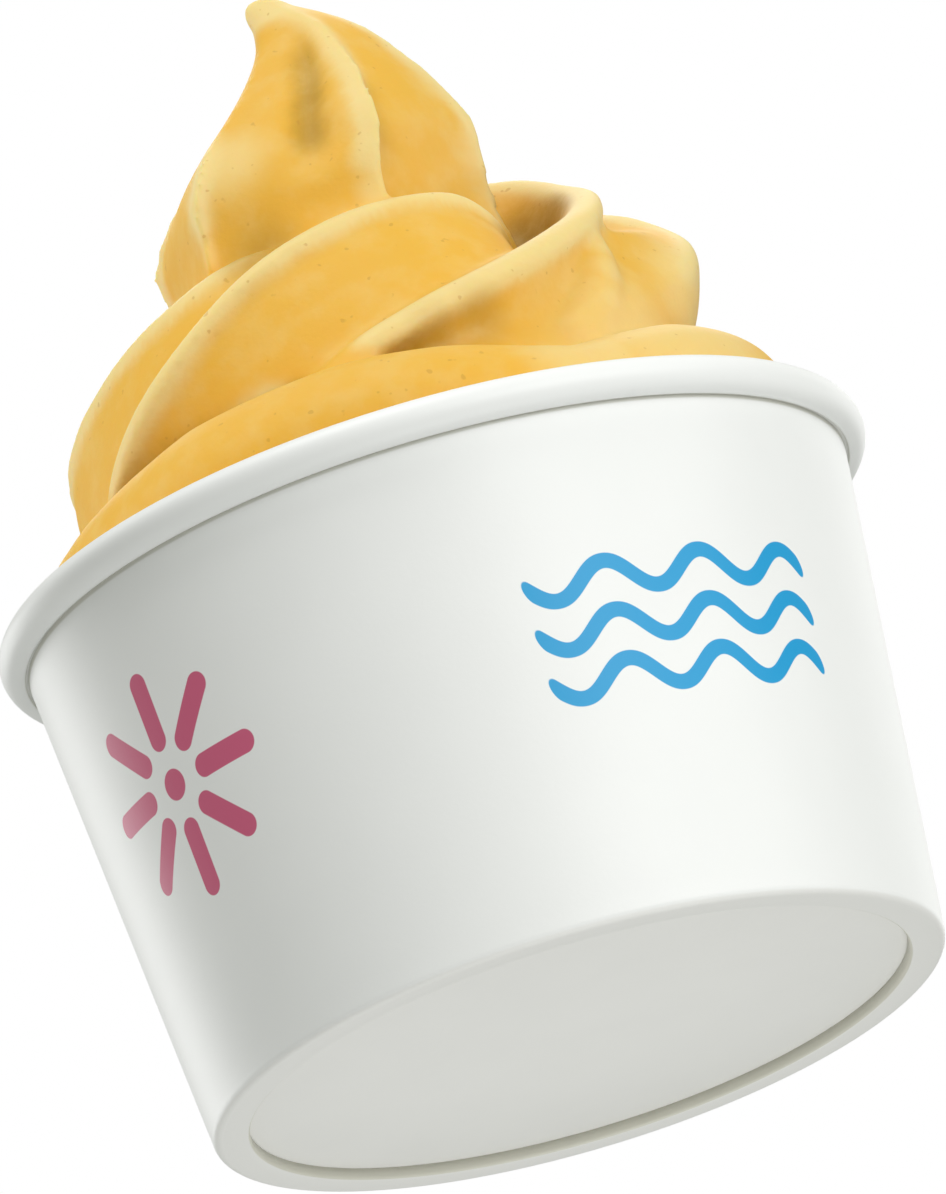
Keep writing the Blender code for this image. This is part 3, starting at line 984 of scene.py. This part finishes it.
# %% [markdown]
# ## Printed marks
# A takeaway cup carries a mark or two, printed on the paper before it is rolled. These are plain
# shapes of no maker: a pink burst of rounded strokes, and a blue set of waves, each printed
# twice round the cup. The lathe's UV map says how far round the cup a point is, and its height
# comes from Object coordinates, so the marks are worked out in millimetres along the wall. That
# stays sharp at any distance, where a painted picture would not. The same material paints shade
# down in the slot under the rim and on the inner face of the foot ring round the base, and gives
# the foot ring the greyer tone of the base disc.


# %% Math on sockets
def length_of(tree, x, y):
    return calc(tree, "SQRT", calc(tree, "ADD", calc(tree, "MULTIPLY", x, x), calc(tree, "MULTIPLY", y, y)))


def beyond(tree, x, half):
    """How far x lies outside the stretch from -half to half."""
    return calc(tree, "MAXIMUM", calc(tree, "SUBTRACT", calc(tree, "ABSOLUTE", x), half), 0.0)


def inked(tree, distance, half_width):
    """1 inside a stroke and 0 outside, with an edge as soft as print on paper."""
    edge = 0.06
    return ramp(tree, distance, half_width + edge, half_width - edge)


# %% The marks as a node group
WAVE_LENGTH = 11.5
WAVE_HEIGHT = 1.7
WAVE_SPACING = 5.4
WAVE_HALF_RUN = 17.0
WAVE_STROKE = 0.85
BURST_STROKES = 8
BURST_INNER = 5.2
BURST_OUTER = 11.4
BURST_STROKE = 1.3
BURST_DOT = 1.7
BURST_AT = (40.0, 32.0)  # degrees round from the right, in each half turn, and height
WAVES_AT = (124.0, 31.0)


def marks_group():
    """Factors for the burst and the waves, from the share of a turn and the height in millimetres."""
    group = bpy.data.node_groups.new("printed_marks", "ShaderNodeTree")
    for name in ("Turn", "Height"):
        new_socket(group, name, "INPUT", "Float")
    for name in ("Burst", "Waves"):
        new_socket(group, name, "OUTPUT", "Float")
    given = group.nodes.new("NodeGroupInput")
    result = group.nodes.new("NodeGroupOutput")
    half_turn = calc(group, "MODULO", calc(group, "MULTIPLY", given.outputs["Turn"], 360.0), 180.0)
    along_wall = math.radians(1.0) * wall_radius(WAVES_AT[1])  # millimetres for each degree

    def from_centre(centre):
        x = calc(group, "MULTIPLY", calc(group, "SUBTRACT", half_turn, centre[0]), along_wall)
        return x, calc(group, "SUBTRACT", given.outputs["Height"], centre[1])

    # Burst: fold the plane into one sector and draw a single stroke there
    x, y = from_centre(BURST_AT)
    sector = math.tau / BURST_STROKES
    angle = calc(group, "ARCTAN2", y, x)
    folded = calc(group, "MULTIPLY", calc(group, "ROUND", calc(group, "DIVIDE", angle, sector)), sector)
    within = calc(group, "SUBTRACT", angle, folded)
    out = length_of(group, x, y)
    along = calc(group, "MULTIPLY", out, calc(group, "COSINE", within))
    across = calc(group, "MULTIPLY", out, calc(group, "SINE", within))
    middle = (BURST_INNER + BURST_OUTER) / 2
    past_end = beyond(group, calc(group, "SUBTRACT", along, middle), (BURST_OUTER - BURST_INNER) / 2)
    stroke = inked(group, length_of(group, past_end, across), BURST_STROKE)
    dot = inked(group, out, BURST_DOT)
    group.links.new(calc(group, "MAXIMUM", stroke, dot), result.inputs["Burst"])

    # Waves: the distance to a sine line, for three lines one above the other
    x, y = from_centre(WAVES_AT)
    phase = calc(group, "MULTIPLY", x, math.tau / WAVE_LENGTH)
    sway = calc(group, "MULTIPLY", calc(group, "SINE", phase), WAVE_HEIGHT)
    off = calc(group, "SUBTRACT", y, sway)
    line = calc(group, "ROUND", calc(group, "DIVIDE", off, WAVE_SPACING))
    line = calc(group, "MINIMUM", calc(group, "MAXIMUM", line, -1.0), 1.0)
    off = calc(group, "SUBTRACT", off, calc(group, "MULTIPLY", line, WAVE_SPACING))
    slope = math.tau * WAVE_HEIGHT / WAVE_LENGTH
    steep = calc(group, "MULTIPLY", calc(group, "COSINE", phase), slope)
    true_off = calc(group, "DIVIDE", off, length_of(group, steep, 1.0))
    ink = inked(group, length_of(group, beyond(group, x, WAVE_HALF_RUN), true_off), WAVE_STROKE)
    group.links.new(ink, result.inputs["Waves"])
    return group


marks = marks_group()
print("marks group with", len(marks.nodes), "nodes")

# %% Print them on the outside of the wall
PINK = (0.62, 0.115, 0.22)
BLUE = (0.002, 0.33, 0.66)
CREASE_HEIGHT = CUP_HEIGHT - 2 * ROLL_RADIUS
CREASE_RADIUS = wall_radius(CREASE_HEIGHT) + CREASE[0]
CREASE_SHADE = (0.42, 0.40, 0.29)  # painted shade down in the crease under the rim
FOOT_TONE = (0.80, 0.80, 0.78)  # the lowest half millimetre, the foot ring, is given the greyer tone of the base disc
RECESS_SHADE = (0.62, 0.61, 0.53)  # painted shade on the inner face of the foot ring, round the recess under the cup


def print_on_wall():
    """The marks, painted shade in the slot and round the recess, and the base's tone on the foot, over the
    plain tone of the wall.
    """
    tree = wall_tree
    turn = tree.nodes.new("ShaderNodeUVMap")
    turn.uv_map = "UVMap"
    place = tree.nodes.new("ShaderNodeTexCoord")
    round_up = tree.nodes.new("ShaderNodeSeparateXYZ")
    up = tree.nodes.new("ShaderNodeSeparateXYZ")
    printed = tree.nodes.new("ShaderNodeGroup")
    printed.node_tree = marks
    height = calc(tree, "DIVIDE", up.outputs["Z"], MM)
    link_up(
        tree,
        (turn.outputs[0], round_up.inputs[0]),
        (place.outputs["Object"], up.inputs[0]),
        (round_up.outputs["X"], printed.inputs["Turn"]),
        (height, printed.inputs["Height"]),
    )
    outside = calc(tree, "LESS_THAN", round_up.outputs["Y"], OUTSIDE_ENDS)
    tone = mix_colour(tree, calc(tree, "MULTIPLY", printed.outputs["Burst"], outside), wall_tone, PINK)
    tone = mix_colour(tree, calc(tree, "MULTIPLY", printed.outputs["Waves"], outside), tone, BLUE)
    from_axis = length_of(tree, up.outputs["X"], up.outputs["Y"])
    # Painted shade down in the slot under the rim
    near_crease = calc(tree, "ABSOLUTE", calc(tree, "SUBTRACT", height, CREASE_HEIGHT))
    in_slot = ramp(tree, from_axis, (CREASE_RADIUS + 0.15) * MM, CREASE_RADIUS * MM)
    crease = calc(tree, "MULTIPLY", ramp(tree, near_crease, 0.4, 0.12, 0.0, 0.45), in_slot)
    crease = calc(tree, "MULTIPLY", crease, outside)
    tone = mix_colour(tree, crease, tone, CREASE_SHADE)
    # The foot ring gets the base disc's greyer tone
    tone = mix_colour(tree, ramp(tree, height, 0.55, 0.25), tone, FOOT_TONE)
    # Painted shade on the inner face of the foot ring, in the recess
    inner_face = ramp(tree, from_axis, (FOOT_INNER_RADIUS + 0.3) * MM, (FOOT_INNER_RADIUS + 0.15) * MM)
    tone = mix_colour(tree, inner_face, tone, RECESS_SHADE)
    tree.links.new(tone, wall_shader.inputs["Base Color"])


print_on_wall()
print("wall material with", len(wall_tree.nodes), "nodes")

# %% [markdown]
# ## Floor, light and camera
# The floor is pale and plain. The cup is looked at from a little below table height, with a long
# lens and with the head tilted, so the floor has to let that view through: it shows only to a
# camera above it, and light from the bright surroundings still reaches the underside.
#
# White paper and yellow yogurt want different light. The paper needs a dark stretch at the left of
# its front to look round, and the yogurt needs light from both sides to look soft. A photographer
# holds up cards to keep one light off the cup and another off the yogurt. Light linking does that
# here, with one set of soft lights for each.


# %% Floor
def floor_material():
    made, tree, shader = new_material("pale_floor")
    set_inputs(shader, Base_Color=(0.82, 0.82, 0.81, 1.0), Roughness=0.7)
    clear = tree.nodes.new("ShaderNodeBsdfTransparent")
    side = tree.nodes.new("ShaderNodeNewGeometry")
    path = tree.nodes.new("ShaderNodeLightPath")
    above = calc(tree, "SUBTRACT", 1.0, side.outputs["Backfacing"])
    blend = tree.nodes.new("ShaderNodeMixShader")
    link_up(
        tree,
        (calc(tree, "MULTIPLY", above, path.outputs["Is Camera Ray"]), blend.inputs[0]),
        (clear.outputs[0], blend.inputs[1]),
        (shader.outputs[0], blend.inputs[2]),
        (blend.outputs[0], tree.nodes["Material Output"].inputs["Surface"]),
    )
    return made


def flat_square(name, half, z, finish):
    mesh = bpy.data.meshes.new(name)
    corners = [(-half, -half, z), (half, -half, z), (half, half, z), (-half, half, z)]
    mesh.from_pydata(corners, [], [(0, 1, 2, 3)])
    mesh.materials.append(finish)
    return placed(name, mesh)


floor = flat_square("floor", 3.0, -0.0001, floor_material())
print("floor of", floor.dimensions.x, "m")


# %% Light helpers
def soft_light(name, azimuth, elevation, power, distance=1.0, size=0.6):
    """A square area light. Azimuth 0 is in front of the cup and 90 on its right."""
    lamp = bpy.data.lights.new(name, "AREA")
    lamp.shape = "SQUARE"
    lamp.size = size
    lamp.energy = power
    made = placed(name, lamp)
    a, e = math.radians(azimuth), math.radians(elevation)
    way = Vector((math.sin(a) * math.cos(e), -math.cos(a) * math.cos(e), math.sin(e)))
    made.location = Vector((0.0, 0.0, 0.06)) + way * distance
    made.rotation_mode = "QUATERNION"
    made.rotation_quaternion = way.to_track_quat("Z", "Y")
    return made


def lit_by(pieces, rows):
    """Soft lights that reach only the given pieces. Each row is what soft_light takes."""
    for row in rows:
        lamp = soft_light(*row)
        lamp.visible_camera = False
        group = bpy.data.collections.new(row[0] + "_lights")
        for piece in pieces:
            group.objects.link(piece)
        lamp.light_linking.receiver_collection = group
    print(len(rows), "lights for", [piece.name for piece in pieces])


# %% Lights
PAPER_LIGHTS = [  # name, azimuth, elevation and power, and then distance and size if not the usual
    ("paper_key", 33, 10, 4.2),
    ("paper_fill", 66, 12, 2.1),
    ("paper_right_back", 150, 10, 1.5),
    ("paper_top", -20, 72, 4.3),
    ("paper_left_back", -134, 8, 3.4),
    ("paper_left_high", -110, 50, 1.25),
    ("paper_under", 15, -68, 2.0),
    ("card_below", 0, -90, 0.033, 0.14, 0.12),
]
YOGURT_LIGHTS = [
    ("yogurt_key", 31, 11, 5.1),
    ("yogurt_right", 105, 10, 1.75),
    ("yogurt_top", -20, 72, 2.4),
    ("yogurt_left", -100, 8, 4.2),
    ("yogurt_left_high", -60, 50, 1.2),
    ("yogurt_back", 180, 45, 2.0),
]
lit_by((wall, disc, floor), PAPER_LIGHTS)
lit_by((yogurt,), YOGURT_LIGHTS)

# %% Surroundings
# The camera sees plain white, and the pieces get a softer, slightly warm light from all round
world = bpy.data.worlds.new("surroundings")
bpy.context.scene.world = world
world.use_nodes = True
sky = world.node_tree.nodes["Background"]
set_inputs(sky, Color=(0.98, 1.0, 0.935, 1.0), Strength=0.385)
seen_sky = world.node_tree.nodes.new("ShaderNodeBackground")
set_inputs(seen_sky, Color=(1.0, 1.0, 1.0, 1.0), Strength=1.0)
path = world.node_tree.nodes.new("ShaderNodeLightPath")
either = world.node_tree.nodes.new("ShaderNodeMixShader")
link_up(
    world.node_tree,
    (path.outputs["Is Camera Ray"], either.inputs[0]),
    (sky.outputs[0], either.inputs[1]),
    (seen_sky.outputs[0], either.inputs[2]),
    (either.outputs[0], world.node_tree.nodes["World Output"].inputs["Surface"]),
)
bpy.context.scene.view_settings.view_transform = "Standard"
print("surroundings at", round(sky.inputs["Strength"].default_value, 3))

# %% Camera
TILT_BELOW = -17.006  # degrees: the camera looks up at the cup
ROLL = 16.797  # degrees: the cup's top leans left in the view
DISTANCE = 3.175
LENS = 899.9
PAN, PITCH = -0.0492, 0.4272  # the small turn that frames the cup as a whole
LOOK_AT = Vector((0.0, 0.0, 0.02626))


def turned_by(vector, axis, degrees):
    return Quaternion(axis, math.radians(degrees)) @ vector


def place_camera():
    lens = bpy.data.cameras.new("camera")
    lens.sensor_width = 36.0
    lens.lens = LENS
    lens.clip_start = 0.1
    lens.clip_end = 50.0
    camera = placed("camera", lens)
    e = math.radians(TILT_BELOW)
    back = Vector((0.0, -math.cos(e), math.sin(e)))
    forward = -back
    right = Vector((1.0, 0.0, 0.0))
    up = right.cross(forward)
    forward, right = (turned_by(v, up, PAN) for v in (forward, right))
    forward, up = (turned_by(v, right, PITCH) for v in (forward, up))
    right, up = (turned_by(v, forward, ROLL) for v in (right, up))
    frame_of_view = Matrix((right, up, -forward)).transposed().to_4x4()
    frame_of_view.translation = LOOK_AT + back * DISTANCE
    camera.matrix_world = frame_of_view
    bpy.context.scene.camera = camera
    return camera


print("camera at", [round(v, 3) for v in place_camera().matrix_world.translation])
